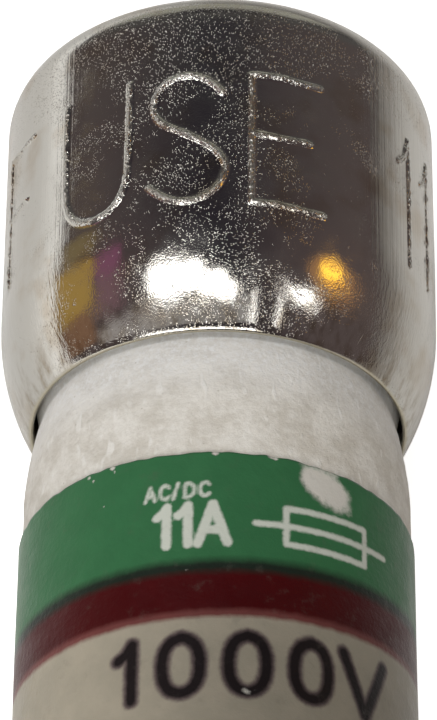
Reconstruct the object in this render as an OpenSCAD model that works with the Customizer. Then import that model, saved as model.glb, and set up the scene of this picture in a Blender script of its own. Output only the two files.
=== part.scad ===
// Cartridge fuse with nickel-plated ferrules, a glass-melamine tube and a printed wrap label.
// The axis of the fuse lies along +Y and the origin is at the middle of the tube, so the fuse
// lies on its two ferrules with +Z up. The upper end, above the print as it reads, is at +Y.

/* [Overall] */
// Length over both end faces
fuse_length = 38.1; // [31:0.1:50]
// Outer diameter of the ferrules
ferrule_d = 10.3; // [9.2:0.1:14]
// Length of each ferrule, from its end face to the edge of its rolled lip
ferrule_length = 9.5; // [7.8:0.1:12]

/* [Ferrule] */
// Thickness of the drawn sheet
ferrule_wall = 0.4; // [0.3:0.01:0.6]
// Radius of the rounded edge of the end face
ferrule_corner = 1.1; // [0.6:0.05:1.4]
// Length of the wall that is rolled inwards at the open end
lip_length = 2.9; // [2:0.1:4]
// How far the rolled lip comes in from the outer diameter
lip_drop = 0.74; // [0.55:0.01:1]
// Thickness of the lip at its trimmed edge
lip_edge = 0.14; // [0.1:0.01:0.25]

/* [Tube] */
// Diameter of the bore that holds the filler
tube_bore_d = 6.6; // [5:0.1:7.2]
// Depth of the ground label seat below the shouldered ends
seat_relief = 0.28; // [0.15:0.01:0.4]
// Length over which the waist under the lip fades into the label seat
waist_fade = 2.3; // [1.5:0.1:3]

/* [Label] */
// Bare tube between the lip of a ferrule and the label
label_margin = 3.35; // [2.4:0.05:5]
// Thickness of the label sheet
label_thickness = 0.1; // [0.06:0.01:0.2]
// Length of sheet that laps over its own start
label_lap = 1.6; // [0.8:0.1:3]
// Angle of the lap round the tube, from the middle of the print
label_lap_angle = 152; // [120:1:220]

/* [End closures] */
// Thickness of the slotted fibre washers
washer_thickness = 0.8; // [0.5:0.05:1.2]
// Length of the arc plugs in the ends of the bore
plug_length = 2.5; // [1.5:0.1:4]
// Thickness of solder between the folded tabs and the ferrule
solder_thickness = 0.35; // [0.2:0.01:0.6]

/* [Elements] */
// Width of each fuse strip
strip_width = 2.4; // [1.6:0.1:3.2]
// Thickness of each fuse strip
strip_thickness = 0.12; // [0.08:0.01:0.2]
// Distance between the middles of the two strips
strip_spacing = 2; // [1.4:0.1:2.6]
// Length of the tab folded over the washer at each end of a strip
tab_length = 1.5; // [0.8:0.1:1.8]
// Distance from one row of holes to the next
neck_pitch = 3; // [2:0.1:4]
// Width of each narrow neck between the holes of a row
neck_width = 0.1; // [0.06:0.01:0.2]
// Radius of the tin bead across each strip
bead_r = 0.5; // [0.3:0.05:0.6]

/* [Fits] */
// Radial clearance of the ferrules, plugs and filler
fit = 0.02; // [0.01:0.01:0.05]
// Radial gap between the edge of the lip and the waist of the tube
lip_gap = 0.16; // [0.05:0.01:0.2]
// Clearance round a strip in its slots
slot_clearance = 0.05; // [0.02:0.01:0.1]

/* [Hidden] */
$fn = 128;
ARC_STEPS = 14;
OVERCUT = 1;

// Ferrule radii and the arc that its lip is rolled to
ferrule_r = ferrule_d / 2;
ferrule_inner_r = ferrule_r - ferrule_wall;
lip_r = ferrule_r - lip_drop;
lip_sweep_r = (lip_drop * lip_drop + lip_length * lip_length) / (2 * lip_drop);
lip_angle = asin(lip_length / lip_sweep_r);
// Share of the lip's arc over which its wall keeps its full thickness
LIP_FULL_SHARE = 0.55;
ferrule_inner_corner = max(ferrule_corner - ferrule_wall, 0.1);

// Levels along the fuse, measured from its middle
lip_z = fuse_length / 2 - ferrule_length;
end_wall_z = fuse_length / 2 - ferrule_wall;
washer_z = end_wall_z - solder_thickness - strip_thickness;
tube_half = washer_z - washer_thickness;
filler_half = tube_half - plug_length;
label_half = lip_z - label_margin;

// Tube radii
bore_r = tube_bore_d / 2;
shoulder_r = ferrule_inner_r - fit;
seat_r = shoulder_r - seat_relief;
waist_r = lip_r - lip_edge - lip_gap;
waist_depth = seat_r - waist_r;
waist_sweep_r = (waist_depth * waist_depth + waist_fade * waist_fade) / (2 * waist_depth);
waist_angle = asin(waist_fade / waist_sweep_r);

// End pieces stay inside the rounded inner corner of the ferrule
closure_r = ferrule_inner_r - ferrule_inner_corner;

// Holes across a strip, and rows of them on each side of the tin bead
HOLES_ACROSS = 3;
hole_pitch = strip_width / HOLES_ACROSS;
hole_d = hole_pitch - neck_width;
NECK_END_MARGIN = 1;
neck_rows = floor((filler_half - NECK_END_MARGIN - neck_pitch / 2) / neck_pitch) + 1;

NICKEL = [0.72, 0.71, 0.68];
MELAMINE = [0.80, 0.78, 0.73];
LABEL_WHITE = [0.78, 0.76, 0.70];
FIBRE = [0.45, 0.20, 0.16];
PLUG_GREY = [0.62, 0.62, 0.60];
SOLDER = [0.66, 0.67, 0.68];
SILVERED_COPPER = [0.80, 0.72, 0.62];
TIN = [0.74, 0.75, 0.76];
SAND = [0.86, 0.82, 0.72];

// Points of an arc in the radius and length plane, from angle a0 to a1
function arc(centre_r, centre_z, r, a0, a1) = [
    for (i = [0 : ARC_STEPS])
        let (a = a0 + (a1 - a0) * i / ARC_STEPS)
        [centre_r + r * cos(a), centre_z + r * sin(a)]
];

// Turns a piece that is drawn along Z so that it lies along Y
module along_fuse() {
    rotate([-90, 0, 0]) children();
}

// Drawn cup with a rolled lip, its end face at the upper end of the fuse
module ferrule() {
    lip_centre_r = ferrule_r - lip_sweep_r;
    lip_end_z = lip_z + lip_length;
    half = fuse_length / 2;
    color(NICKEL)
    rotate_extrude()
    polygon(concat(
        [[0, half]],
        arc(ferrule_r - ferrule_corner, half - ferrule_corner, ferrule_corner, 90, 0),
        arc(lip_centre_r, lip_end_z, lip_sweep_r, 0, -lip_angle),
        [[lip_r - lip_edge, lip_z]],
        arc(lip_centre_r, lip_end_z, lip_sweep_r - ferrule_wall, -lip_angle * LIP_FULL_SHARE, 0),
        arc(closure_r, end_wall_z - ferrule_inner_corner, ferrule_inner_corner, 0, 90),
        [[0, end_wall_z]]
    ));
}

module upper_ferrule() {
    along_fuse() ferrule();
}

module lower_ferrule() {
    along_fuse() mirror([0, 0, 1]) ferrule();
}

// Half of the tube's outline, from its middle to its upper end
function tube_outline() = concat(
    arc(seat_r - waist_sweep_r, lip_z - waist_fade, waist_sweep_r, 0, waist_angle),
    [[shoulder_r, lip_z + lip_length], [shoulder_r, tube_half]]
);

// Wound tube with a shouldered end in each ferrule, a waist under each lip and a seat for the label
module tube() {
    upper = tube_outline();
    last = len(upper) - 1;
    lower = [for (i = [last : -1 : 0]) [upper[i][0], -upper[i][1]]];
    color(MELAMINE)
    along_fuse()
    rotate_extrude()
    polygon(concat(lower, upper, [[bore_r, tube_half], [bore_r, -tube_half]]));
}

// Sheet wrapped once round the tube, with its end lapped over its start
module label() {
    lap_r = seat_r + label_thickness;
    lap_span = label_lap / lap_r * 180 / PI;
    color(LABEL_WHITE)
    along_fuse()
    translate([0, 0, -label_half])
    union() {
        difference() {
            cylinder(r = lap_r, h = 2 * label_half);
            translate([0, 0, -OVERCUT]) cylinder(r = seat_r, h = 2 * label_half + 2 * OVERCUT);
        }
        rotate([0, 0, -90 + label_lap_angle])
        rotate_extrude(angle = lap_span)
        translate([seat_r + label_thickness / 2, 0])
        square([1.5 * label_thickness, 2 * label_half]);
    }
}

// Disc with two slots that the strips pass through
module slotted_disc(r, height) {
    slot_thickness = strip_thickness + 2 * slot_clearance;
    slot_width = strip_width + 2 * slot_clearance;
    difference() {
        cylinder(r = r, h = height);
        for (side = [-1, 1])
            translate([side * strip_spacing / 2, 0, height / 2])
            cube([slot_thickness, slot_width, height + 2 * OVERCUT], center = true);
    }
}

module washer() {
    color(FIBRE) translate([0, 0, tube_half]) slotted_disc(closure_r, washer_thickness);
}

module upper_washer() {
    along_fuse() washer();
}

module lower_washer() {
    along_fuse() mirror([0, 0, 1]) washer();
}

module arc_plug() {
    color(PLUG_GREY) translate([0, 0, filler_half]) slotted_disc(bore_r - fit, plug_length);
}

module upper_arc_plug() {
    along_fuse() arc_plug();
}

module lower_arc_plug() {
    along_fuse() mirror([0, 0, 1]) arc_plug();
}

// Tab of the right-hand strip, folded outwards over the upper washer
module folded_tab() {
    translate([strip_spacing / 2 - strip_thickness / 2, -strip_width / 2, washer_z])
    cube([tab_length, strip_width, strip_thickness]);
}

// Solder that fills the end of the ferrule round the folded tabs
module solder() {
    color(SOLDER)
    difference() {
        translate([0, 0, washer_z]) cylinder(r = closure_r, h = end_wall_z - washer_z);
        folded_tab();
        mirror([1, 0, 0]) folded_tab();
    }
}

module upper_solder() {
    along_fuse() solder();
}

module lower_solder() {
    along_fuse() mirror([0, 0, 1]) solder();
}

// Outline of a strip: in each row, the notches in both edges and the holes between them leave necks
module strip_outline() {
    difference() {
        square([strip_width, 2 * washer_z], center = true);
        for (side = [-1, 1], row = [0 : neck_rows - 1])
            translate([0, side * (row + 0.5) * neck_pitch])
            for (i = [0 : HOLES_ACROSS])
                translate([i * hole_pitch - strip_width / 2, 0]) circle(d = hole_d);
    }
}

// Right-hand strip with its two folded tabs
module strip() {
    translate([strip_spacing / 2 - strip_thickness / 2, 0, 0])
    rotate([90, 0, 90])
    linear_extrude(height = strip_thickness) strip_outline();
    folded_tab();
    mirror([0, 0, 1]) folded_tab();
}

module left_element() {
    color(SILVERED_COPPER) along_fuse() mirror([1, 0, 0]) strip();
}

module right_element() {
    color(SILVERED_COPPER) along_fuse() strip();
}

// Half-round bead of tin across the outer face of the right-hand strip
module bead() {
    face_x = strip_spacing / 2 + strip_thickness / 2;
    bead_width = strip_width * 0.8;
    intersection() {
        translate([face_x, bead_width / 2, 0]) rotate([90, 0, 0]) cylinder(r = bead_r, h = bead_width);
        translate([face_x, -strip_width, -2 * bead_r]) cube([2 * bead_r, 2 * strip_width, 4 * bead_r]);
    }
}

module left_tin_bead() {
    color(TIN) along_fuse() mirror([1, 0, 0]) bead();
}

module right_tin_bead() {
    color(TIN) along_fuse() bead();
}

// Packed quartz sand, with room for the strips and their beads
module sand_filler() {
    color(SAND)
    along_fuse()
    difference() {
        translate([0, 0, -filler_half]) cylinder(r = bore_r - fit, h = 2 * filler_half);
        for (side = [0, 1])
            mirror([side, 0, 0]) {
                strip();
                bead();
            }
    }
}

upper_ferrule();
lower_ferrule();
tube();
label();
upper_washer();
lower_washer();
upper_arc_plug();
lower_arc_plug();
upper_solder();
lower_solder();
left_element();
right_element();
left_tin_bead();
right_tin_bead();
sand_filler();
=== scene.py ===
"""Looks of a cartridge fuse that lies on its two ferrules, on a pale table under soft studio light.

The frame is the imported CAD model: metres, origin at the middle of the fuse, +Y along its axis towards the
upper ferrule, +Z out through the middle of the print. Sizes of the new surfaces are in millimetres, and MM
turns them into metres in the meshes. The ends and outer radii of the ferrules and the tube come from the
boxes of their CAD nodes.

Most of the new pieces are surfaces of revolution. They share one pair of coordinates: a turn, which is the
angle round the axis from the middle of the print, positive to the print's right, and a place along the axis.
"""

import logging
import math
from dataclasses import dataclass, field
from enum import Enum
from typing import Callable, Sequence

import bpy
import numpy as np
from mathutils import Matrix, Vector


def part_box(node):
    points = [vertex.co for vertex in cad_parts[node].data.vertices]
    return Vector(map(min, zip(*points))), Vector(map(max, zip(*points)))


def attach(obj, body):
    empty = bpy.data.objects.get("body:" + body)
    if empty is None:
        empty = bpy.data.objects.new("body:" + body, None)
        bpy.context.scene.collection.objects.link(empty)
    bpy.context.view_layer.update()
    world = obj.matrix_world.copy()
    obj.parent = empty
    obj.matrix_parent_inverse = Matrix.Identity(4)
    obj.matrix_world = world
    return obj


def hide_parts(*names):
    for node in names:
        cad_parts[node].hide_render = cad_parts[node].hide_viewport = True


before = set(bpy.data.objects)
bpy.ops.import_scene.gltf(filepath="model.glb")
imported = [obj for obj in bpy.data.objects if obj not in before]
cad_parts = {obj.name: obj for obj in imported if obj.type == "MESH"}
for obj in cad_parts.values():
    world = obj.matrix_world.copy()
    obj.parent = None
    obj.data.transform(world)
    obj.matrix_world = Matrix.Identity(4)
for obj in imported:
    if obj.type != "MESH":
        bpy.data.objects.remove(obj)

LOG = logging.getLogger("fuse")
MM = 0.001
BODY = "root"
LIP_LENGTH = 2.9
STAMP_FOOT = 12.62
STAMP_HEIGHT = 3.65
STROKE_REACH = 0.6

Colour = tuple[float, float, float]
Point = tuple[float, float]
Socket = bpy.types.NodeSocket


class End(Enum):
    """The two ends of the fuse, with the sign of Y that each lies on."""

    UPPER = 1
    LOWER = -1


# ----------------------------------------------------------------------------------------------------
# Mesh and outline helpers
# ----------------------------------------------------------------------------------------------------


def smoothstep(x: np.ndarray) -> np.ndarray:
    """Rises from 0 to 1 as x goes from 0 to 1, by 3x^2 - 2x^3, and stays level outside.

    Args:
        x: any array.

    Returns:
        An array of the same shape.
    """
    t = np.clip(x, 0.0, 1.0)
    return t * t * (3.0 - 2.0 * t)


def ripple(a: np.ndarray, b: np.ndarray, waves: int, seed: int) -> np.ndarray:
    """A smooth random field: the mean of sines of a*p + b*q + phase, with p, q and phase drawn once per wave.

    Args:
        a: first coordinate, in any unit.
        b: second coordinate, same shape.
        waves: how many sines are added.
        seed: start of the random draw, so that every run gives the same field.

    Returns:
        Values mostly between -1 and 1.
    """
    draw = np.random.default_rng(seed)
    p, q = draw.normal(size=waves), draw.normal(size=waves)
    phase = draw.uniform(0.0, 2.0 * math.pi, waves)
    field_values = np.sin(a[..., None] * p + b[..., None] * q + phase)
    return field_values.sum(-1) / math.sqrt(waves)


def arc_points(centre: Point, radius: float, start: float, stop: float, count: int) -> np.ndarray:
    """Points of a circular arc: centre + radius * (cos a, sin a), a from start to stop in degrees.

    Args:
        centre: middle of the circle.
        radius: its radius.
        start: first angle, in degrees.
        stop: last angle, in degrees.
        count: how many points.

    Returns:
        An array of shape (count, 2).
    """
    a = np.radians(np.linspace(start, stop, count))
    return np.stack([centre[0] + radius * np.cos(a), centre[1] + radius * np.sin(a)], -1)


def line_points(start: Point, stop: Point, count: int) -> np.ndarray:
    """Points of a straight line, without its first point: start + (stop - start) * t, t in (0, 1].

    Args:
        start: where the line begins.
        stop: where it ends.
        count: how many points.

    Returns:
        An array of shape (count, 2).
    """
    t = np.linspace(0.0, 1.0, count + 1)[1:, None]
    return np.array(start)[None, :] * (1.0 - t) + np.array(stop)[None, :] * t


def turned_points(turn: np.ndarray, radius: np.ndarray, along: np.ndarray) -> np.ndarray:
    """Puts (turn, radius, along) into the frame: x = r sin(turn), y = along, z = r cos(turn).

    Args:
        turn: angle from +Z towards +X, in radians.
        radius: distance from the axis, in millimetres.
        along: place along the axis, in millimetres.

    Returns:
        Points in millimetres, with one more axis of length 3.
    """
    return np.stack([radius * np.sin(turn), along, radius * np.cos(turn)], -1)


def grid_faces(rows: int, columns: int, wrap: bool) -> np.ndarray:
    """Quads of a grid whose vertex (i, j) has the number i * columns + j, seen from outside as anticlockwise.

    Args:
        rows: vertices along the first axis.
        columns: vertices along the second axis.
        wrap: True where the last column joins the first.

    Returns:
        An integer array of shape (faces, 4).
    """
    i = np.arange(rows - 1)[:, None]
    j = np.arange(columns if wrap else columns - 1)[None, :]
    k = (j + 1) % columns
    quads = np.stack([i * columns + j, i * columns + k, (i + 1) * columns + k, (i + 1) * columns + j], -1)
    return quads.reshape(-1, 4)


def pole_faces(pole: int, ring: np.ndarray, flip: bool) -> np.ndarray:
    """Triangles from one vertex to each side of a closed ring of vertices.

    Args:
        pole: number of the vertex in the middle.
        ring: numbers of the ring's vertices, in order.
        flip: True to wind the triangles the other way.

    Returns:
        An integer array of shape (len(ring), 3).
    """
    following = np.roll(ring, -1)
    first, second = (following, ring) if flip else (ring, following)
    return np.stack([np.full_like(ring, pole), first, second], -1)


def make_object(
    name: str,
    points: np.ndarray,
    faces: Sequence[np.ndarray],
    layers: dict[str, np.ndarray] | None = None,
) -> bpy.types.Object:
    """Puts arrays of points and faces into a smooth-shaded mesh object at the origin.

    Args:
        name: name of the object.
        points: vertex positions in millimetres, shape (n, 3).
        faces: arrays of quads or triangles.
        layers: one float per vertex under each attribute name.

    Returns:
        The new object.
    """
    mesh = bpy.data.meshes.new(name)
    corner_lists = [block.tolist() for block in faces]
    mesh.from_pydata((points * MM).tolist(), [], [corner for block in corner_lists for corner in block])
    for layer_name, values in (layers or {}).items():
        attribute = mesh.attributes.new(layer_name, "FLOAT", "POINT")
        attribute.data.foreach_set("value", values.astype(np.float32))
    mesh.polygons.foreach_set("use_smooth", np.ones(len(mesh.polygons), bool))
    mesh.update()
    piece = bpy.data.objects.new(name, mesh)
    bpy.context.scene.collection.objects.link(piece)
    return piece


def lathe(
    name: str,
    outline: np.ndarray,
    turns: np.ndarray,
    relief: Callable[[np.ndarray, np.ndarray], np.ndarray] | None = None,
    layers: dict[str, Callable[[np.ndarray, np.ndarray], np.ndarray]] | None = None,
) -> bpy.types.Object:
    """Turns a closed outline round the axis; vertex (i, j) is outline point i at turn j, moved on its normal.

    Where the outline starts and ends on the axis, each of those points becomes one pole. Otherwise the last
    point joins the first. The outline runs so that its outside lies on its left as radius and place are read
    as x and y.

    Args:
        name: name of the object.
        outline: (radius, along) points in millimetres.
        turns: angles of the columns, in radians, without a repeat of the first.
        relief: gives the move along the outward normal, in millimetres, from turn and outline row number.
        layers: vertex attributes, each a function of turn and outline row number.

    Returns:
        The new object.
    """
    poles = outline[0, 0] < 1e-9 and outline[-1, 0] < 1e-9
    rows, columns = len(outline), len(turns)
    ahead = np.roll(outline, -1, 0) - outline
    behind = outline - np.roll(outline, 1, 0)
    if poles:
        ahead[-1], behind[0] = behind[-1], ahead[0]
    tangent = ahead / np.linalg.norm(ahead, axis=1, keepdims=True)
    tangent += behind / np.linalg.norm(behind, axis=1, keepdims=True)
    tangent /= np.linalg.norm(tangent, axis=1, keepdims=True)
    normal = np.stack([-tangent[:, 1], tangent[:, 0]], -1)
    turn, row = np.meshgrid(turns, np.arange(rows), indexing="xy")
    move = relief(turn, row) if relief else np.zeros(turn.shape)
    radius = outline[row, 0] + move * normal[row, 0]
    along = outline[row, 1] + move * normal[row, 1]
    points = turned_points(turn, np.maximum(radius, 0.0), along).reshape(-1, 3)
    values = {key: rule(turn, row).ravel() for key, rule in (layers or {}).items()}
    faces = [grid_faces(rows, columns, True)]
    if poles:
        inner = slice(columns - 1, (rows - 1) * columns + 1)
        points = points[inner]
        values = {key: value[inner] for key, value in values.items()}
        faces = [grid_faces(rows - 2, columns, True) + 1]
        last = len(points) - 1
        faces.append(pole_faces(0, np.arange(columns) + 1, True))
        faces.append(pole_faces(last, np.arange(columns) + last - columns, False))
    else:
        closing = np.stack([np.arange(columns) + (rows - 1) * columns, np.roll(np.arange(columns), -1)
                            + (rows - 1) * columns, np.roll(np.arange(columns), -1), np.arange(columns)], -1)
        faces.append(closing)
    return make_object(name, points, faces, values)


# ----------------------------------------------------------------------------------------------------
# Lettering: signed distances to simple strokes
# ----------------------------------------------------------------------------------------------------


def stroke_distance(u: np.ndarray, v: np.ndarray, path: np.ndarray) -> np.ndarray:
    """Distance from each (u, v) to a chain of straight segments, the least of |p - nearest point|.

    Args:
        u: first coordinate, in millimetres.
        v: second coordinate, same shape.
        path: the chain's points, shape (n, 2).

    Returns:
        Distances in millimetres, the shape of u.
    """
    start, step = path[:-1], np.diff(path, axis=0)
    du, dv = u[..., None] - start[:, 0], v[..., None] - start[:, 1]
    share = (du * step[:, 0] + dv * step[:, 1]) / np.maximum((step**2).sum(1), 1e-12)
    share = np.clip(share, 0.0, 1.0)
    return np.hypot(du - share * step[:, 0], dv - share * step[:, 1]).min(-1)


class Glyph(Enum):
    """Letters and figures as chains of strokes, in a cell one unit high with its left foot at (0, 0).

    Each chain is a list of points. The second value is the width of the cell.
    """

    F = ([[(0.0, 0.0), (0.0, 1.0), (0.5, 1.0)], [(0.0, 0.53), (0.4, 0.53)]], 0.5)
    U = ([[(0.0, 1.0), (0.0, 0.3), (0.05, 0.13), (0.15, 0.03), (0.29, 0.0), (0.43, 0.03), (0.53, 0.13),
           (0.58, 0.3), (0.58, 1.0)]], 0.58)
    S = ([[(0.53, 0.85), (0.43, 0.96), (0.28, 1.0), (0.12, 0.96), (0.03, 0.85), (0.03, 0.7), (0.13, 0.59),
           (0.42, 0.45), (0.54, 0.34), (0.56, 0.2), (0.47, 0.06), (0.3, 0.0), (0.12, 0.03),
           (0.0, 0.14)]], 0.56)
    E = ([[(0.5, 1.0), (0.0, 1.0), (0.0, 0.0), (0.52, 0.0)], [(0.0, 0.53), (0.42, 0.53)]], 0.52)
    A = ([[(0.0, 0.0), (0.31, 1.0), (0.62, 0.0)], [(0.11, 0.34), (0.51, 0.34)]], 0.62)
    C = ([[(0.57, 0.82), (0.46, 0.95), (0.31, 1.0), (0.15, 0.95), (0.04, 0.8), (0.0, 0.5), (0.04, 0.2),
           (0.15, 0.05), (0.31, 0.0), (0.46, 0.05), (0.57, 0.18)]], 0.57)
    D = ([[(0.0, 0.0), (0.0, 1.0), (0.25, 1.0), (0.45, 0.91), (0.55, 0.72), (0.58, 0.5), (0.55, 0.28),
           (0.45, 0.09), (0.25, 0.0), (0.0, 0.0)]], 0.58)
    V = ([[(0.0, 1.0), (0.3, 0.0), (0.6, 1.0)]], 0.6)
    ONE = ([[(0.0, 0.76), (0.14, 0.84), (0.24, 1.0), (0.24, 0.0)]], 0.24)
    ZERO = ([[(0.29, 1.0), (0.13, 0.94), (0.03, 0.77), (0.0, 0.5), (0.03, 0.23), (0.13, 0.06), (0.29, 0.0),
              (0.45, 0.06), (0.55, 0.23), (0.58, 0.5), (0.55, 0.77), (0.45, 0.94), (0.29, 1.0)]], 0.58)
    SLASH = ([[(0.0, -0.05), (0.36, 1.05)]], 0.36)


GLYPHS = {"F": Glyph.F, "U": Glyph.U, "S": Glyph.S, "E": Glyph.E, "A": Glyph.A, "C": Glyph.C, "D": Glyph.D,
          "V": Glyph.V, "1": Glyph.ONE, "0": Glyph.ZERO, "/": Glyph.SLASH}


def rounded(path: np.ndarray, passes: int = 3) -> np.ndarray:
    """Rounds a chain by cutting its corners: each pass puts points at 1/4 and 3/4 of every segment.

    Chains of up to five points are straight strokes and stay as they are.

    Args:
        path: the chain's points, shape (n, 2).
        passes: how often the corners are cut.

    Returns:
        The rounded chain, with the same ends.
    """
    if len(path) <= 5:
        return path
    for _ in range(passes):
        first, second = path[:-1], path[1:]
        cut = np.stack([0.75 * first + 0.25 * second, 0.25 * first + 0.75 * second], 1).reshape(-1, 2)
        path = np.vstack([path[:1], cut, path[-1:]])
    return path


@dataclass(frozen=True)
class Word:
    """A short line of strokes on a wrapped surface, in millimetres round the surface and along the axis.

    Attributes:
        text: characters that GLYPHS has.
        left: places of each character's left edge.
        foot: place of the line's foot along the axis.
        height: height of a capital.
        widen: factor on the width of each character.
        lean: rise along the axis for each millimetre round the surface.
    """

    text: str
    left: tuple[float, ...]
    foot: float
    height: float
    widen: tuple[float, ...]
    lean: float = 0.0

    def distance(self, u: np.ndarray, v: np.ndarray) -> np.ndarray:
        """Distance from each (u, v) to the nearest stroke's middle line.

        Args:
            u: place round the surface, in millimetres.
            v: place along the axis, in millimetres.

        Returns:
            Distances in millimetres, no more than the height of a capital.
        """
        nearest = np.full(u.shape, self.height)
        upright = v - self.lean * u
        for character, left, widen in zip(self.text, self.left, self.widen):
            chains, width = GLYPHS[character].value
            reach = width * widen * self.height
            near = (u > left - STROKE_REACH) & (u < left + reach + STROKE_REACH)
            near &= upright > self.foot - STROKE_REACH
            near &= upright < self.foot + self.height + STROKE_REACH
            for chain in chains:
                path = rounded(np.array(chain)) * [widen * self.height, self.height] + [left, self.foot]
                gap = stroke_distance(u[near], upright[near], path)
                nearest[near] = np.minimum(nearest[near], gap)
        return nearest


# ----------------------------------------------------------------------------------------------------
# Material helpers
# ----------------------------------------------------------------------------------------------------


class NodeWork:
    """A node tree under construction, with short calls for the nodes that the finishes use."""

    def __init__(self, tree: bpy.types.NodeTree) -> None:
        """Takes the tree that the nodes go into."""
        self.tree = tree

    def node(self, kind: str, **settings: object) -> bpy.types.Node:
        """Adds a node of that kind with those settings."""
        made = self.tree.nodes.new(kind)
        for key, value in settings.items():
            setattr(made, key, value)
        return made

    def feed(self, socket: Socket, source: Socket | float | Sequence[float]) -> None:
        """Links a socket to a source, or sets it to a value.

        Args:
            socket: the input.
            source: an output, a number, or a tuple of numbers.
        """
        if isinstance(source, bpy.types.NodeSocket):
            self.tree.links.new(source, socket)
        elif isinstance(source, (tuple, list)) and len(source) == 3 and socket.type == "RGBA":
            socket.default_value = (*source, 1.0)
        else:
            socket.default_value = source

    def place(self, stretch: Sequence[float] = (1.0, 1.0, 1.0), shift: Sequence[float] = (0.0, 0.0, 0.0),
              turn: Sequence[float] = (0.0, 0.0, 0.0)) -> Socket:
        """Object coordinates in millimetres, stretched and shifted.

        Args:
            stretch: factor on each axis.
            shift: move on each axis, after the stretch.
            turn: rotation about each axis, in radians.

        Returns:
            The vector.
        """
        source = self.node("ShaderNodeTexCoord").outputs["Object"]
        mapping = self.node("ShaderNodeMapping")
        self.feed(mapping.inputs["Vector"], source)
        mapping.inputs["Scale"].default_value = [factor / MM for factor in stretch]
        mapping.inputs["Location"].default_value = list(shift)
        mapping.inputs["Rotation"].default_value = list(turn)
        return mapping.outputs["Vector"]

    def streaks(self, fine: float, coarse: float, turn: float = 0.0, shift: float = 0.0,
                detail: float = 2.0) -> Socket:
        """Noise drawn out along one direction: the axis of the fuse, turned about Z.

        Args:
            fine: waves for each millimetre across the streaks.
            coarse: waves for each millimetre along them.
            turn: angle from the axis, in radians.
            shift: move of the pattern, which gives another draw.
            detail: number of octaves.

        Returns:
            The value.
        """
        turned = self.place(turn=(0.0, 0.0, turn))
        mapping = self.node("ShaderNodeMapping")
        self.feed(mapping.inputs["Vector"], turned)
        mapping.inputs["Scale"].default_value = [fine, coarse, fine]
        mapping.inputs["Location"].default_value = [shift, shift, shift]
        return self.noise(mapping.outputs["Vector"], 1.0, detail, 0.6)

    def separate(self, vector: Socket, axis: str) -> Socket:
        """One component of a vector."""
        made = self.node("ShaderNodeSeparateXYZ")
        self.feed(made.inputs["Vector"], vector)
        return made.outputs[axis]

    def layer(self, name: str) -> Socket:
        """The float attribute of that name."""
        return self.node("ShaderNodeAttribute", attribute_name=name).outputs["Fac"]

    def noise(self, where: Socket, scale: float, detail: float = 3.0, rough: float = 0.5) -> Socket:
        """Noise between about 0.2 and 0.8.

        Args:
            where: the vector.
            scale: waves for each unit of the vector.
            detail: number of octaves.
            rough: weight of the fine octaves.

        Returns:
            The value.
        """
        made = self.node("ShaderNodeTexNoise")
        self.feed(made.inputs["Vector"], where)
        for key, value in (("Scale", scale), ("Detail", detail), ("Roughness", rough)):
            made.inputs[key].default_value = value
        return made.outputs["Fac"]

    def cells(self, where: Socket, scale: float) -> Socket:
        """Distance to the nearest of scattered points.

        Args:
            where: the vector.
            scale: points for each unit of the vector.

        Returns:
            The distance, in cells.
        """
        made = self.node("ShaderNodeTexVoronoi")
        self.feed(made.inputs["Vector"], where)
        made.inputs["Scale"].default_value = scale
        return made.outputs["Distance"]

    def ramp(self, value: Socket, low: float, high: float, to_low: float = 0.0,
             to_high: float = 1.0) -> Socket:
        """Maps low..high of a value to to_low..to_high, smoothly and level outside.

        Args:
            value: the input.
            low: where the change starts.
            high: where it ends.
            to_low: result at low.
            to_high: result at high.

        Returns:
            The mapped value.
        """
        made = self.node("ShaderNodeMapRange", interpolation_type="SMOOTHSTEP")
        self.feed(made.inputs["Value"], value)
        for key, number in (("From Min", low), ("From Max", high), ("To Min", to_low), ("To Max", to_high)):
            made.inputs[key].default_value = number
        return made.outputs["Result"]

    def calc(self, operation: str, first: Socket | float, second: Socket | float,
             third: Socket | float | None = None) -> Socket:
        """A Math node.

        Args:
            operation: its operation, such as "ADD" or "MULTIPLY_ADD".
            first: first input.
            second: second input.
            third: third input, for operations that have one.

        Returns:
            The result.
        """
        made = self.node("ShaderNodeMath", operation=operation)
        self.feed(made.inputs[0], first)
        self.feed(made.inputs[1], second)
        if third is not None:
            self.feed(made.inputs[2], third)
        return made.outputs[0]

    def absolute(self, value: Socket) -> Socket:
        """The size of a value without its sign."""
        return self.calc("ABSOLUTE", value, 0.0)

    def mix(self, share: Socket | float, first: Socket | Colour, second: Socket | Colour,
            blend: str = "MIX") -> Socket:
        """A colour mix.

        Args:
            share: 0 for the first colour, 1 for the second.
            first: a colour.
            second: a colour.
            blend: blend type.

        Returns:
            The colour.
        """
        made = self.node("ShaderNodeMix", data_type="RGBA", blend_type=blend)
        colours = [socket for socket in made.inputs if socket.type == "RGBA"]
        self.feed(made.inputs[0], share)
        for socket, source in zip(colours, (first, second)):
            self.feed(socket, source)
        return next(socket for socket in made.outputs if socket.type == "RGBA")

    def lay(self, under: Socket, mask: Socket, strength: Socket | float, over: Socket | Colour) -> Socket:
        """Lays a colour over another where a mask is high: mix by mask * strength.

        Args:
            under: the colour below.
            mask: where the upper colour goes, from 0 to 1.
            strength: its share where the mask is 1.
            over: the colour on top.

        Returns:
            The colour.
        """
        return self.mix(self.calc("MULTIPLY", mask, strength), under, over)

    def bump(self, height: Socket, depth: float, below: Socket | None = None) -> Socket:
        """A bump from a height between 0 and 1.

        Args:
            height: the height.
            depth: what a height of 1 stands for, in millimetres.
            below: normal of a bump under this one.

        Returns:
            The normal.
        """
        made = self.node("ShaderNodeBump")
        made.inputs["Distance"].default_value = depth * MM
        made.inputs["Strength"].default_value = 1.0
        self.feed(made.inputs["Height"], height)
        if below is not None:
            self.feed(made.inputs["Normal"], below)
        return made.outputs["Normal"]


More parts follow.
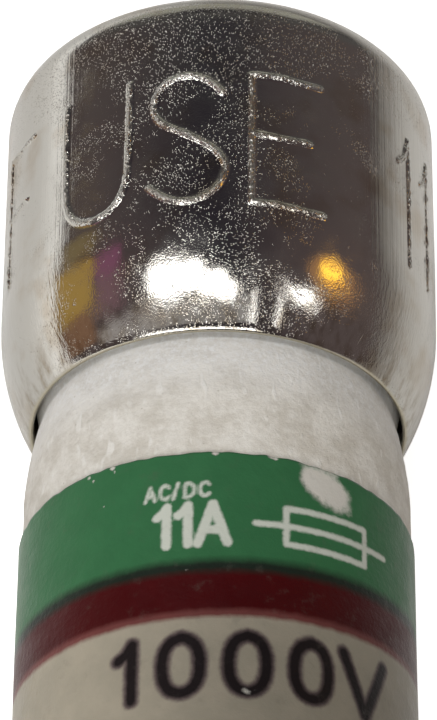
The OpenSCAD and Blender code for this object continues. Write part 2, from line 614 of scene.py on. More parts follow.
class Shader(NodeWork):
    """A Principled material under construction."""

    def __init__(self, name: str, **constants: float | Colour) -> None:
        """Starts a material; each constant is set on the shader's own socket.

        Args:
            name: name of the material.
            constants: socket names, with underscores for spaces, and their values.
        """
        self.material = bpy.data.materials.new(name)
        self.material.use_nodes = True
        super().__init__(self.material.node_tree)
        self.surface = self.tree.nodes["Principled BSDF"]
        for key, value in constants.items():
            wide = (*value, 1.0) if isinstance(value, tuple) and len(value) == 3 else value
            self.surface.inputs[key.replace("_", " ")].default_value = wide

    def finish(self, **links: Socket) -> bpy.types.Material:
        """Links the shader's inputs and returns the material.

        Args:
            links: socket names, with underscores for spaces, and their sources.

        Returns:
            The material.
        """
        for key, source in links.items():
            self.feed(self.surface.inputs[key.replace("_", " ")], source)
        return self.material


# ----------------------------------------------------------------------------------------------------
# Finishes
# ----------------------------------------------------------------------------------------------------


@dataclass(frozen=True)
class PitSize:
    """One size of pit in the plate.

    Attributes:
        spacing: pits for each millimetre.
        core: radius of the flat floor, in cells.
        rim: radius at which the pit ends, in cells.
        threshold: how thick the pits must lie for this size to show.
        depth: share of the full depth.
    """

    spacing: float
    core: float
    rim: float
    threshold: float
    depth: float


@dataclass(frozen=True)
class NickelPlate:
    """Bright nickel plate on drawn brass, worn by use: smudged, pitted, brushed along the axis and scratched.
    """

    bright: Colour = (0.545, 0.535, 0.50)
    stained: Colour = (0.45, 0.405, 0.34)
    cut_edge: Colour = (0.50, 0.46, 0.36)
    lip_soil: Colour = (0.25, 0.195, 0.125)
    pit_sizes: tuple[PitSize, ...] = (
        PitSize(5.0, 0.04, 0.15, 0.43, 1.0),
        PitSize(10.5, 0.05, 0.20, 0.39, 0.66),
        PitSize(19.0, 0.08, 0.34, 0.40, 0.42),
    )
    pit_fade: float = 0.18
    grain_depth: float = 0.0018
    grit_depth: float = 0.0008
    swell_depth: float = 0.006
    brush_depth: float = 0.008
    pit_depth: float = -0.0105
    scratch_depth: float = -0.0015
    dimple_depth: float = 0.034

    def pits(self, s: Shader) -> Socket:
        """Scattered small pits of three sizes, thickest in front, near the end edge and in some patches.

        Args:
            s: the material under construction.

        Returns:
            Up to 1 in a pit, less in the smaller sizes, and 0 outside.
        """
        here = s.place()
        across, along = (s.absolute(s.separate(here, axis)) for axis in "XY")
        thick = s.noise(s.place(shift=(1.0, 9.0, 4.0)), 0.9, 3.0)
        thick = s.calc("ADD", thick, s.ramp(across, 0.6, 3.0, 0.08, -0.10))
        thick = s.calc("ADD", thick, s.ramp(along, 15.8, 17.4, 0.0, 0.20))
        deepest: Socket | float = 0.0
        for size in self.pit_sizes:
            dish = s.ramp(s.cells(here, size.spacing), size.core, size.rim, size.depth, 0.0)
            shown = s.ramp(thick, size.threshold, size.threshold + self.pit_fade)
            spots = s.calc("MULTIPLY", dish, shown)
            deepest = s.calc("MAXIMUM", spots, deepest)
        return deepest

    def material(self) -> bpy.types.Material:
        """Builds the material; it reads the attributes stamp and edge."""
        s = Shader("nickel_plate", Metallic=1.0)
        here = s.place()
        haze = s.noise(here, 0.55, 5.0, 0.62)
        patch = s.ramp(s.noise(s.place(shift=(7.0, 3.0, 1.0)), 0.7, 4.0, 0.6), 0.44, 0.64)
        stamp = s.layer("stamp")
        pits = self.pits(s)
        rough = s.ramp(haze, 0.35, 0.7, 0.06, 0.14)
        rough = s.calc("MULTIPLY_ADD", patch, 0.08, rough)
        rough = s.calc("MULTIPLY_ADD", pits, 0.2, rough)
        rough = s.calc("MULTIPLY_ADD", stamp, 0.20, rough)
        stain = s.ramp(s.noise(s.place(shift=(2.0, 5.0, 8.0)), 0.7, 4.0), 0.5, 0.72)
        colour = s.mix(stain, self.bright, self.stained)
        near_lip = s.ramp(s.absolute(s.separate(here, "Y")), 9.55, 11.0, 0.85, 0.0)
        soil = s.ramp(s.streaks(3.6, 1.1, 0.0, 6.0, 4.0), 0.40, 0.76)
        colour = s.lay(colour, near_lip, soil, self.lip_soil)
        colour = s.mix(s.layer("edge"), colour, self.cut_edge)
        grains = s.ramp(s.cells(here, 21.0), 0.0, 0.75)
        fine = s.calc("MULTIPLY", grains, s.calc("MULTIPLY_ADD", patch, 0.8, 0.1))
        swell = s.noise(here, 1.6, 1.0)
        worn = s.ramp(s.absolute(s.separate(here, "X")), 2.7, 4.4, 0.10, 1.0)
        brushed = s.calc("MULTIPLY", s.streaks(13.0, 0.08), worn)
        scratches = s.calc("MAXIMUM", s.ramp(s.streaks(24.0, 0.5, 0.5), 0.70, 0.76),
                           s.ramp(s.streaks(26.0, 0.6, -1.0, 8.0), 0.71, 0.77))
        dimple = s.calc("MULTIPLY", s.ramp(s.cells(here, 12.5), 0.1, 0.6), stamp)
        normal: Socket | None = None
        for height, depth in (
            (fine, self.grain_depth), (s.noise(here, 34.0, 1.0), self.grit_depth), (swell, self.swell_depth),
            (brushed, self.brush_depth), (pits, self.pit_depth), (scratches, self.scratch_depth),
            (dimple, self.dimple_depth),
        ):
            normal = s.bump(height, depth, normal)
        return s.finish(Base_Color=colour, Roughness=rough, Normal=normal)


@dataclass(frozen=True)
class GlassMelamine:
    """Off-white laminated tube: glass cloth in melamine resin, ground smooth, threads just under the skin."""

    resin: Colour = (0.73, 0.71, 0.665)
    cloudy: Colour = (0.56, 0.53, 0.475)
    thread: Colour = (0.80, 0.79, 0.76)
    fresh: Colour = (0.86, 0.875, 0.89)
    soiled: Colour = (0.36, 0.33, 0.27)

    def material(self) -> bpy.types.Material:
        """Builds the material from Object coordinates."""
        s = Shader("glass_melamine", Specular_IOR_Level=0.35)
        here = s.place()
        colour = s.mix(s.ramp(s.noise(here, 1.1, 6.0, 0.7), 0.38, 0.64), self.resin, self.cloudy)
        flecks = s.ramp(s.noise(s.place((1.3, 1.0, 1.3)), 7.0, 4.0, 0.75), 0.40, 0.66)
        colour = s.lay(colour, flecks, 0.4, self.cloudy)
        threads = s.ramp(s.streaks(4.6, 1.7, 0.0, 2.0, 1.0), 0.62, 0.76)
        colour = s.lay(colour, threads, 0.6, self.thread)
        weave = s.ramp(s.noise(s.place((1.0, 3.0, 1.0)), 2.2, 3.0), 0.5, 0.7)
        colour = s.lay(colour, weave, 0.16, self.thread)
        ground = s.ramp(s.absolute(s.separate(here, "Y")), 7.4, 9.3, 0.0, 0.9)
        colour = s.lay(colour, ground, s.calc("MULTIPLY_ADD", flecks, 0.5, 0.4), self.fresh)
        speck = s.ramp(s.cells(here, 2.6), 0.03, 0.09, 1.0, 0.0)
        colour = s.lay(colour, speck, 0.5, self.soiled)
        soil = s.ramp(s.noise(s.place(shift=(3.0, 6.0, 2.0)), 1.7, 5.0, 0.7), 0.58, 0.8)
        colour = s.lay(colour, soil, 0.3, self.soiled)
        rough = s.ramp(s.noise(here, 2.0, 3.0), 0.3, 0.7, 0.45, 0.65)
        normal = s.bump(s.noise(here, 6.0, 5.0, 0.7), 0.035)
        normal = s.bump(threads, 0.008, normal)
        return s.finish(Base_Color=colour, Roughness=rough, Normal=normal)


@dataclass(frozen=True)
class PrintedSheet:
    """Label sheet printed with a green band, a dark red band and black figures, rubbed and scuffed.

    The bands are places along the axis, in millimetres from the sheet's upper edge.
    """

    sheet: Colour = (0.345, 0.315, 0.25)
    bare: Colour = (0.66, 0.64, 0.59)
    green: Colour = (0.034, 0.141, 0.058)
    shade: Colour = (0.012, 0.020, 0.014)
    red: Colour = (0.056, 0.0020, 0.003)
    blush: Colour = (0.15, 0.045, 0.042)
    black: Colour = (0.014, 0.010, 0.011)
    black_fringe: Colour = (0.10, 0.070, 0.075)
    white: Colour = (0.68, 0.70, 0.64)
    # Painted shade: the print's colour is multiplied by this grey where less light falls, towards the right
    # and the middle.
    shade_tint: Colour = (0.54, 0.54, 0.54)
    green_width: float = 2.97
    red_width: float = 1.13
    blush_width: float = 0.07
    ramp_span: float = 6.0

    def bands(self, s: Shader, depth: Socket) -> Socket:
        """The band colours as a ramp over the depth below the sheet's upper edge.

        Args:
            s: the material under construction.
            depth: millimetres below the upper edge.

        Returns:
            The colour.
        """
        red_end = self.green_width + self.red_width
        stops = (
            (0.0, self.green), (self.green_width - 0.30, self.green), (self.green_width - 0.06, self.shade),
            (self.green_width + 0.02, self.shade), (self.green_width + 0.22, self.red),
            (red_end - 0.12, self.red), (red_end + 0.02, self.blush),
            (red_end + self.blush_width, self.blush), (red_end + self.blush_width + 0.13, self.sheet),
        )
        made = s.node("ShaderNodeValToRGB")
        s.feed(made.inputs["Fac"], s.calc("DIVIDE", depth, self.ramp_span))
        elements = made.color_ramp.elements
        while len(elements) < len(stops):
            elements.new(0.5)
        for element, (place, colour) in zip(elements, stops):
            element.position = place / self.ramp_span
            element.color = (*colour, 1.0)
        return made.outputs["Color"]

    def material(self) -> bpy.types.Material:
        """Builds the material; it reads the attributes depth, figures, symbol, scuff and the painted shade.
        """
        s = Shader("printed_sheet", Specular_IOR_Level=0.08, Sheen_Weight=0.25, Sheen_Roughness=0.35)
        here = s.place()
        wander = s.noise(here, 3.5, 4.0, 0.6)
        depth = s.calc("ADD", s.layer("depth"), s.calc("MULTIPLY_ADD", wander, 0.10, -0.05))
        colour = self.bands(s, depth)
        fade = s.ramp(s.noise(s.place(shift=(4.0, 1.0, 6.0)), 1.3, 5.0, 0.6), 0.35, 0.7, 0.0, 0.32)
        colour = s.mix(fade, colour, s.mix(1.0, colour, (1.35, 1.3, 1.3), "MULTIPLY"))
        ragged = s.calc("MULTIPLY_ADD", s.noise(here, 7.0, 3.0, 0.7), 0.07, -0.035)
        white_gap = s.calc("ADD", s.layer("symbol"), ragged)
        colour = s.mix(s.ramp(white_gap, -0.045, 0.045, 0.85, 0.0), colour, self.white)
        black_gap = s.calc("ADD", s.layer("figures"), ragged)
        colour = s.mix(s.ramp(black_gap, -0.01, 0.11, 0.9, 0.0), colour, self.black_fringe)
        colour = s.mix(s.ramp(black_gap, -0.08, 0.03, 1.0, 0.0), colour, self.black)
        worn = s.calc("MULTIPLY_ADD", s.noise(here, 3.2, 5.0, 0.68), 0.7, s.layer("scuff"))
        bare = s.ramp(worn, 0.80, 1.25)
        colour = s.mix(bare, colour, self.bare)
        # Painted shade: darker towards the right and from the green band down to the middle, for light that
        # falls off there.
        colour = s.mix(s.layer("painted_shade"), colour, s.mix(1.0, colour, self.shade_tint, "MULTIPLY"))
        soil = s.ramp(s.noise(s.place(shift=(9.0, 2.0, 3.0)), 2.4, 5.0, 0.7), 0.55, 0.75, 0.0, 0.2)
        colour = s.mix(soil, colour, (0.10, 0.09, 0.075))
        rough = s.ramp(s.noise(here, 1.8, 3.0), 0.3, 0.7, 0.36, 0.5)
        normal = s.bump(s.noise(here, 7.0, 4.0, 0.6), 0.014)
        normal = s.bump(bare, -0.02, normal)
        return s.finish(Base_Color=colour, Roughness=rough, Normal=normal)


@dataclass(frozen=True)
class MottledFinish:
    """A plain finish for an inner piece: two colours in cloudy patches, over a grain with its own bump."""

    name: str
    first: Colour
    second: Colour
    roughness: tuple[float, float]
    metal: float
    patch_scale: float
    grain_scale: float
    grain_depth: float
    stretch: tuple[float, float, float] = (1.0, 1.0, 1.0)

    def material(self) -> bpy.types.Material:
        """Builds the material from Object coordinates."""
        s = Shader(self.name, Metallic=self.metal)
        here = s.place(self.stretch)
        cloud = s.noise(here, self.patch_scale, 5.0, 0.6)
        grain = s.noise(here, self.grain_scale, 3.0, 0.6)
        share = s.ramp(s.calc("MULTIPLY_ADD", grain, 0.5, s.calc("MULTIPLY", cloud, 0.5)), 0.38, 0.62)
        colour = s.mix(share, self.first, self.second)
        rough = s.ramp(cloud, 0.3, 0.7, *self.roughness)
        return s.finish(Base_Color=colour, Roughness=rough, Normal=s.bump(grain, self.grain_depth))


@dataclass(frozen=True)
class QuartzSand:
    """Packed quartz grains: each cell has its own shade and a rounded top, with dark gaps between."""

    pale: Colour = (0.76, 0.71, 0.60)
    amber: Colour = (0.50, 0.38, 0.24)
    gap: Colour = (0.16, 0.12, 0.08)
    grain_spacing: float = 4.5

    def material(self) -> bpy.types.Material:
        """Builds the material from Object coordinates."""
        s = Shader("quartz_sand")
        here = s.place()
        grains = s.node("ShaderNodeTexVoronoi")
        s.feed(grains.inputs["Vector"], here)
        grains.inputs["Scale"].default_value = self.grain_spacing
        shade = s.noise(grains.outputs["Color"], 3.0)
        colour = s.mix(s.ramp(shade, 0.4, 0.7), self.pale, self.amber)
        colour = s.mix(s.ramp(grains.outputs["Distance"], 0.45, 0.8), colour, self.gap)
        normal = s.bump(s.ramp(grains.outputs["Distance"], 0.0, 0.75, 1.0, 0.0), 0.07)
        return s.finish(Base_Color=colour, Roughness=s.ramp(shade, 0.3, 0.7, 0.3, 0.7), Normal=normal)


# ----------------------------------------------------------------------------------------------------
# Pieces
# ----------------------------------------------------------------------------------------------------


@dataclass
class Ferrule:
    """A drawn cap with a rounded end edge, a rolled lip and stamped letters.

    Attributes:
        end: which end of the fuse it closes.
        words: what is stamped into it.
        outer: outer radius, in millimetres.
        inner_place: place of the lip's edge, from the middle of the fuse.
        outer_place: place of the end face.
        wall: thickness of the drawn metal.
        corner: radius of the rounded end edge.
        lip_length: how far along the axis the lip is rolled in.
        lip_drop: how much smaller the lip's radius is than the cap's.
        lip_edge: width of the trimmed edge.
        stroke: half width of a stamped stroke.
        stroke_depth: depth of a stroke.
        fine_turns: the stretch of turns that has letters, in degrees.
        fine_step: spacing of the vertices there.
        coarse_step: spacing of the columns elsewhere.
        outline: (radius, along) points, once it is drawn.
    """

    end: End
    words: tuple[Word, ...]
    outer: float = 0.0
    inner_place: float = 0.0
    outer_place: float = 0.0
    wall: float = 0.4
    corner: float = 1.1
    lip_length: float = LIP_LENGTH
    lip_drop: float = 0.74
    lip_edge: float = 0.10
    stroke: float = 0.062
    stroke_depth: float = 0.062
    fine_turns: tuple[float, float] = (-78.0, 92.0)
    fine_step: float = 0.04
    coarse_step: float = 0.2
    outline: np.ndarray = field(default_factory=lambda: np.zeros((0, 2)))

    @property
    def node(self) -> str:
        """Name of the CAD node that the cap stands for."""
        return f"{self.end.name.lower()}_ferrule"

    def measure(self) -> None:
        """Takes the cap's radius and its two ends from its CAD node."""
        low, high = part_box(self.node)
        self.outer = high.x / MM
        places = sorted((abs(low.y) / MM, abs(high.y) / MM))
        self.inner_place, self.outer_place = places

    def draw_outline(self) -> None:
        """Outline from the middle of the end wall, down the inside, round the lip and up the outside."""
        sweep = (self.lip_drop**2 + self.lip_length**2) / (2.0 * self.lip_drop)
        angle = math.degrees(math.asin(self.lip_length / sweep))
        centre = (self.outer - sweep, self.inner_place + self.lip_length)
        inner = self.outer - self.wall
        inner_corner = self.corner - self.wall
        inner_end = self.outer_place - self.wall
        lip_r = self.outer - self.lip_drop
        top, foot = self.words[0].foot + self.words[0].height, self.words[0].foot
        start, stop = foot - 0.25, top + 0.25
        rows = int(round((stop - start) / self.fine_step))
        shoulder = self.outer_place - self.corner
        parts = [
            np.array([[0.0, inner_end]]),
            line_points((0.0, inner_end), (inner - inner_corner, inner_end), 4),
            arc_points((inner - inner_corner, inner_end - inner_corner), inner_corner, 90.0, 0.0, 6)[1:],
            line_points((inner, inner_end - inner_corner), (inner, centre[1]), 5),
            arc_points(centre, sweep - self.wall, 0.0, -angle * 0.55, 6)[1:],
            np.array([[lip_r - self.lip_edge, self.inner_place + 0.03]]),
            np.array([[lip_r - self.lip_edge + 0.03, self.inner_place]]),
            np.array([[lip_r - 0.03, self.inner_place]]),
            arc_points(centre, sweep, -angle * 0.985, 0.0, 22),
            line_points((self.outer, centre[1]), (self.outer, start), max(1, int((start - centre[1]) / 0.15)))
            if start > centre[1] + 0.1 else np.zeros((0, 2)),
            line_points((self.outer, max(start, centre[1])), (self.outer, stop), rows),
            line_points((self.outer, stop), (self.outer, shoulder), max(1, int((shoulder - stop) / 0.1))),
            arc_points((self.outer - self.corner, shoulder), self.corner, 0.0, 90.0, 14)[1:],
            line_points((self.outer - self.corner, self.outer_place), (0.3, self.outer_place), 10),
            np.array([[0.0, self.outer_place]]),
        ]
        self.outline = np.vstack(parts)

    def turns(self) -> np.ndarray:
        """Angles of the columns in radians, close together where letters are stamped."""
        low, high = self.fine_turns
        fine = int(math.radians(high - low) * self.outer / self.fine_step)
        coarse = int(math.radians(360.0 - high + low) * self.outer / self.coarse_step)
        return np.radians(np.concatenate([
            np.linspace(low, high, fine, endpoint=False),
            np.linspace(high, low + 360.0, coarse, endpoint=False),
        ]))

    def stamp_share(self, turn: np.ndarray, row: np.ndarray) -> np.ndarray:
        """How deep in a stroke each vertex lies: nearly 1 in its middle, 0 outside, smooth between.

        Args:
            turn: angles of the vertices.
            row: their outline rows.

        Returns:
            An array between 0 and 1.
        """
        outside = row >= self.first_outer_row
        around = (np.mod(turn + math.pi, 2.0 * math.pi) - math.pi) * self.outer
        along = self.outline[row, 1]
        wobble = 0.02 * ripple(around * 3.0, along * 3.0, 12, 5)
        gap = np.full(turn.shape, 9.0)
        for word in self.words:
            gap = np.minimum(gap, word.distance(around, along + wobble))
        return np.where(outside, 1.0 - smoothstep(gap / (2.0 * self.stroke) + 0.12), 0.0)

    def relief(self, turn: np.ndarray, row: np.ndarray) -> np.ndarray:
        """Move along the normal: grooves of the letters with a peened floor, and slight unevenness.

        Args:
            turn: angles of the vertices.
            row: their outline rows.

        Returns:
            Moves in millimetres.
        """
        share = self.stamp_share(turn, row)
        around, along = turn * self.outer, self.outline[row, 1]
        peened = 0.8 + 0.35 * ripple(around * 18.0, along * 18.0, 24, 9)
        outside = row >= self.first_outer_row
        sway = 0.004 * ripple(np.sin(turn) * 2.4, along * 0.8 + np.cos(turn) * 2.4, 10, 3)
        return -self.stroke_depth * share * peened + np.where(outside, sway - 0.004, 0.0)

    @property
    def first_outer_row(self) -> int:
        """The first outline row on the outside of the cap."""
        return int(np.argmax(self.outline[:, 0] >= self.outer - self.lip_drop - 0.029))

    def edge_share(self, turn: np.ndarray, row: np.ndarray) -> np.ndarray:
        """1 on the trimmed edge of the lip and 0 elsewhere.

        Args:
            turn: angles of the vertices, which make no difference here.
            row: their outline rows.

        Returns:
            An array of 0 and 1.
        """
        return np.where(self.outline[row, 1] < self.inner_place + 0.035, 1.0, 0.0)

    def build(self) -> bpy.types.Object:
        """Builds the cap on its end of the fuse and hides the CAD node it stands for."""
        self.measure()
        self.draw_outline()
        outline, sign = self.outline, float(self.end.value)
        cap = lathe(f"{self.end.name.lower()}_cap", outline, self.turns(), self.relief,
                    {"stamp": self.stamp_share, "edge": self.edge_share})
        if sign < 0.0:
            self.turn_over(cap)
        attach(cap, BODY)
        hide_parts(self.node)
        return cap

    @staticmethod
    def turn_over(cap: bpy.types.Object) -> None:
        """Turns a finished mesh half a turn about the Z axis: x and y change sign, so its faces stay outward.

        Args:
            cap: the piece.
        """
        cap.data.transform(Matrix.Rotation(math.pi, 4, "Z"))
        cap.data.update()


@dataclass
class Tube:
    """The laminated tube: shouldered ends, a waist under each lip and a ground seat for the label."""

    inner_place: float
    seat_relief: float = 0.28
    waist_fade: float = 2.3
    waist: float = 4.11
    bore: float = 3.3
    lip_length: float = LIP_LENGTH
    columns: int = 300
    unevenness: float = 0.012
    outline: np.ndarray = field(default_factory=lambda: np.zeros((0, 2)))

    def half_outline(self, shoulder: float, end: float) -> np.ndarray:
        """Upper half of the outside, from the middle of the fuse to the tube's end.

        Args:
            shoulder: radius inside the ferrule.
            end: place of the tube's end.

        Returns:
            (radius, along) points.
        """
        seat = shoulder - self.seat_relief
        depth = seat - self.waist
        sweep = (depth**2 + self.waist_fade**2) / (2.0 * depth)
        angle = math.degrees(math.asin(self.waist_fade / sweep))
        start = self.inner_place - self.waist_fade
        return np.vstack([
            line_points((seat, 0.0), (seat, start), 60),
            arc_points((seat - sweep, start), sweep, 0.0, angle, 30)[1:],
            line_points((self.waist, self.inner_place), (shoulder, self.inner_place + self.lip_length), 8),
            line_points((shoulder, self.inner_place + self.lip_length), (shoulder, end), 6),
        ])

    def relief(self, turn: np.ndarray, row: np.ndarray) -> np.ndarray:
        """Slight unevenness of the ground surface, mostly inwards: a smooth random field on turn and place.

        Args:
            turn: angles of the vertices.
            row: their outline rows.

        Returns:
            Moves in millimetres.
        """
        along = self.outline[row, 1]
        radius = self.outline[row, 0]
        swell = ripple(np.sin(turn) * 9.0, along * 2.0 + np.cos(turn) * 9.0, 16, 2)
        fine = ripple(np.sin(turn) * 40.0, along * 9.0 + np.cos(turn) * 40.0, 24, 4)
        shown = smoothstep((self.inner_place - np.abs(along)) / 0.5 + 1.0) * (radius > self.bore + 0.1)
        return self.unevenness * (0.35 * swell + 0.3 * fine - 0.8) * shown

    def build(self) -> bpy.types.Object:
        """Builds the tube and hides the CAD node it stands for."""
        low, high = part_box("tube")
        upper = self.half_outline(high.x / MM, high.y / MM)
        lower = upper[::-1] * [1.0, -1.0]
        bore = line_points((self.bore, high.y / MM), (self.bore, low.y / MM), 12)
        start = np.array([[self.bore, high.y / MM]])
        self.outline = np.vstack([lower, [[upper[0, 0], 0.0]], upper, start, bore])
        turns = np.linspace(-math.pi, math.pi, self.columns, endpoint=False)
        tube = lathe("laminated_tube", self.outline, turns, self.relief)
        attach(tube, BODY)
        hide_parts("tube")
        return tube


@dataclass(frozen=True)
class Chip:
    """A flake of print that is gone: its place round and along the sheet, its half width, its bareness."""

    around: float
    along: float
    size: float
    share: float = 0.8

    def wear(self, u: np.ndarray, v: np.ndarray) -> np.ndarray:
        """Wear at each (u, v): the share at the chip's middle, falling smoothly to 0 at twice its half width.

        Args:
            u: millimetres round the sheet.
            v: millimetres along the axis.

        Returns:
            An array between 0 and the share.
        """
        return self.share * (1.0 - smoothstep(np.hypot(u - self.around, v - self.along) / (2.0 * self.size)))


@dataclass
class Label:
    """The printed sheet: wrapped once round the tube, its end lapped over its start at the back.

    Attributes:
        figures: the black words.
        marks: the white words in the green band.
        symbol: (left, right, middle, half height) of the fuse symbol in the green band.
        seat: radius of the tube under the sheet.
        thickness: thickness of the sheet.
        half_length: from the sheet's middle to its edge.
        lap_turn: turn at which the end laps over the start, in degrees.
        lap: length of the lap.
        fine_step: spacing of the vertices on the front.
        coarse_step: spacing of the columns at the back.
        fine_turns: the stretch of turns that counts as the front, in degrees.
        skew: rise of the print for each millimetre round the sheet.
        bow: how much the print bends.
        rumple: height of the sheet's unevenness.
        raggedness: how far its cut edges wander.
        front_reach: millimetres round the sheet past which the print stays level.
        symbol_stroke: half width of the symbol's lines.
        rub_middle: (around, along) of the rubbed patch.
        rub_reach: its size round and along the sheet.
        rub_lean: how much it leans.
        chips: where flakes of print are gone.
    """

    figures: tuple[tuple[Word, float], ...]
    marks: tuple[tuple[Word, float], ...]
    symbol: tuple[float, float, float, float]
    seat: float = 4.45
    thickness: float = 0.1
    half_length: float = 6.2
    lap_turn: float = 152.0
    lap: float = 1.6
    fine_step: float = 0.052
    coarse_step: float = 0.13
    fine_turns: tuple[float, float] = (-80.0, 80.0)
    skew: float = 0.035
    bow: float = 0.006
    rumple: float = 0.006
    raggedness: float = 0.018
    front_reach: float = 5.5
    symbol_stroke: float = 0.075
    rub_middle: tuple[float, float] = (2.66, 5.66)
    rub_reach: tuple[float, float] = (0.78, 0.64)
    rub_lean: float = 0.3
    chips: tuple[Chip, ...] = (
        Chip(-3.09, 6.10, 0.06), Chip(-2.96, 5.98, 0.045), Chip(-2.45, 6.14, 0.06), Chip(-2.39, 6.02, 0.04),
        Chip(-0.05, 6.16, 0.07), Chip(1.30, 6.15, 0.06), Chip(1.18, 6.18, 0.05), Chip(-2.66, 5.20, 0.035),
        Chip(-0.66, 3.16, 0.06, 0.6), Chip(-0.60, 3.28, 0.05, 0.5), Chip(0.60, 0.17, 0.09, 0.55),
        Chip(0.72, 0.10, 0.08, 0.5), Chip(0.86, 0.20, 0.06, 0.5),
    )

    def print_place(self, around: np.ndarray, along: np.ndarray) -> np.ndarray:
        """Place along the axis in the print: along - skew * around - bow * around^2, level past the front.

        Args:
            around: millimetres round the sheet.
            along: millimetres along the axis.

        Returns:
            Millimetres along the axis in the print.
        """
        front = np.clip(around, -self.front_reach, self.front_reach)
        return along - self.skew * front - self.bow * front**2

    def symbol_distance(self, u: np.ndarray, v: np.ndarray) -> np.ndarray:
        """Signed distance to the fuse symbol: a box outline with a line through its middle.

        Args:
            u: millimetres round the sheet.
            v: millimetres along the axis, in the print.

        Returns:
            Signed distances in millimetres, below zero in the ink.
        """
        left, right, middle, half = self.symbol
        lead = (right - left) * 0.2
        box = np.array([(left + lead, middle - half), (right - lead, middle - half),
                        (right - lead, middle + half), (left + lead, middle + half),
                        (left + lead, middle - half)])
        wire = np.array([(left, middle), (right, middle)])
        return np.minimum(stroke_distance(u, v, box), stroke_distance(u, v, wire)) - self.symbol_stroke

    def ink_distance(self, u: np.ndarray, v: np.ndarray, words: Sequence[tuple[Word, float]]) -> np.ndarray:
        """Signed distance to words whose strokes have a half width each.

        Args:
            u: millimetres round the sheet.
            v: millimetres along the axis, in the print.
            words: words with their half stroke widths.

        Returns:
            Signed distances in millimetres, below zero in the ink.
        """
        gaps = [word.distance(u, v) - half for word, half in words]
        return np.minimum.reduce(gaps)

    def scuff_share(self, u: np.ndarray, v: np.ndarray) -> np.ndarray:
        """How worn the print is: a base level, a rubbed patch near the upper edge, and small chips.

        Args:
            u: millimetres round the sheet.
            v: millimetres along the axis.

        Returns:
            Values that the material adds noise to: the print starts to go at about 0.45, and is gone at 0.9.
        """
        (around, along), (width, length) = self.rub_middle, self.rub_reach
        patch = np.hypot((u - around + self.rub_lean * (v - 5.6)) / width, (v - along) / length)
        worn = 0.12 + 1.05 * (1.0 - smoothstep(patch * 0.68))
        worn += 0.20 * smoothstep((v - (self.half_length - 0.14)) / 0.14)
        worn += 0.2 * smoothstep((-v - (self.half_length - 0.3)) / 0.3)
        worn += 0.45 * (1.0 - smoothstep(np.hypot(u - 2.12, v - 5.84) / 0.5))
        for chip in self.chips:
            worn += chip.wear(u, v)
        return worn

    def painted_shade_share(self, u: np.ndarray, v: np.ndarray) -> np.ndarray:
        """Painted shade on the print: darker from left to right, and from the green band down to the middle,
        where less light falls.

        Args:
            u: millimetres round the sheet.
            v: millimetres along the axis.

        Returns:
            An array between 0 and 1.
        """
        down = 0.35 + 0.65 * smoothstep((4.5 - v) / 4.0)
        return down * smoothstep((u + 4.2) / 5.6)

    @property
    def print_radius(self) -> float:
        """Radius of the printed face, where places round the sheet are measured."""
        return self.seat + self.thickness

    def columns(self) -> np.ndarray:
        """Turns of the columns in radians, close together on the front, up to the end of the lap."""
        low, high = self.fine_turns
        start = self.lap_turn - 360.0
        stop = self.lap_turn + math.degrees(self.lap / self.print_radius)
        fine = int(math.radians(high - low) * self.print_radius / self.fine_step)
        before = int(math.radians(low - start) * self.print_radius / self.coarse_step)
        after = int(math.radians(stop - high) * self.print_radius / self.coarse_step)
        return np.radians(np.concatenate([
            np.linspace(start, low, before, endpoint=False),
            np.linspace(low, high, fine, endpoint=False),
            np.linspace(high, stop, after),
        ]))

    @staticmethod
    def shell_faces(rows: int, columns: int) -> list[np.ndarray]:
        """Faces of the closed shell: the printed grid, the inside and the four edges.

        The inside has only its lower and upper row of vertices, numbered after those of the grid.

        Args:
            rows: rows of the grid.
            columns: columns of the grid.

        Returns:
            Arrays of faces.
        """
        low_in = rows * columns
        high_in = low_in + columns
        last = low_in - columns
        j = np.arange(columns - 1)
        side = np.concatenate([[low_in], np.arange(rows - 1) * columns, [last], [high_in]])
        return [
            grid_faces(rows, columns, False),
            np.stack([low_in + j, high_in + j, high_in + j + 1, low_in + j + 1], -1),
            np.stack([low_in + j, low_in + j + 1, j + 1, j], -1),
            np.stack([last + j, last + j + 1, high_in + j + 1, high_in + j], -1),
            side[None, :],
            (side + columns - 1)[None, ::-1],
        ]

    def build(self) -> bpy.types.Object:
        """Builds the sheet as one closed shell and hides the CAD node it stands for."""
        rows = np.linspace(-self.half_length, self.half_length, int(2.0 * self.half_length / self.fine_step))
        v_grid, turn_grid = np.meshgrid(rows, self.columns(), indexing="ij")
        u_grid = turn_grid * self.print_radius
        lapped = smoothstep((turn_grid - math.radians(self.lap_turn - 6.0)) / math.radians(8.0))
        swell = self.rumple * ripple(u_grid * 1.1, v_grid * 1.1, 14, 8)
        inner = self.seat + lapped * self.thickness
        outer = inner + self.thickness + swell - self.rumple
        tear = self.raggedness * ripple(u_grid * 6.0, np.sign(v_grid) * 3.0, 10, 6)
        at_edge = smoothstep((np.abs(v_grid) - self.half_length + 0.15) / 0.15)
        along = v_grid - np.sign(v_grid) * at_edge * (0.02 + tear)
        printed = turned_points(turn_grid, outer, along).reshape(-1, 3)
        ends = np.array([0, len(rows) - 1])
        inside = turned_points(turn_grid[ends], inner[ends], along[ends]).reshape(-1, 3)
        place = self.print_place(u_grid, v_grid)
        layers = {
            "depth": self.half_length - np.where(v_grid > 5.6, v_grid, place),
            "figures": self.ink_distance(u_grid, place, self.figures),
            "symbol": np.minimum(self.symbol_distance(u_grid, place),
                                 self.ink_distance(u_grid, place, self.marks)),
            "scuff": self.scuff_share(u_grid, v_grid),
            # painted shade: darker to the right and down to the middle of the print
            "painted_shade": self.painted_shade_share(u_grid, v_grid),
        }
        layers = {key: np.concatenate([value.ravel(), value[ends].ravel()])
                  for key, value in layers.items()}
        faces = self.shell_faces(*v_grid.shape)
        label = make_object("printed_label", np.concatenate([printed, inside]), faces, layers)
        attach(label, BODY)
        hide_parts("label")
        return label


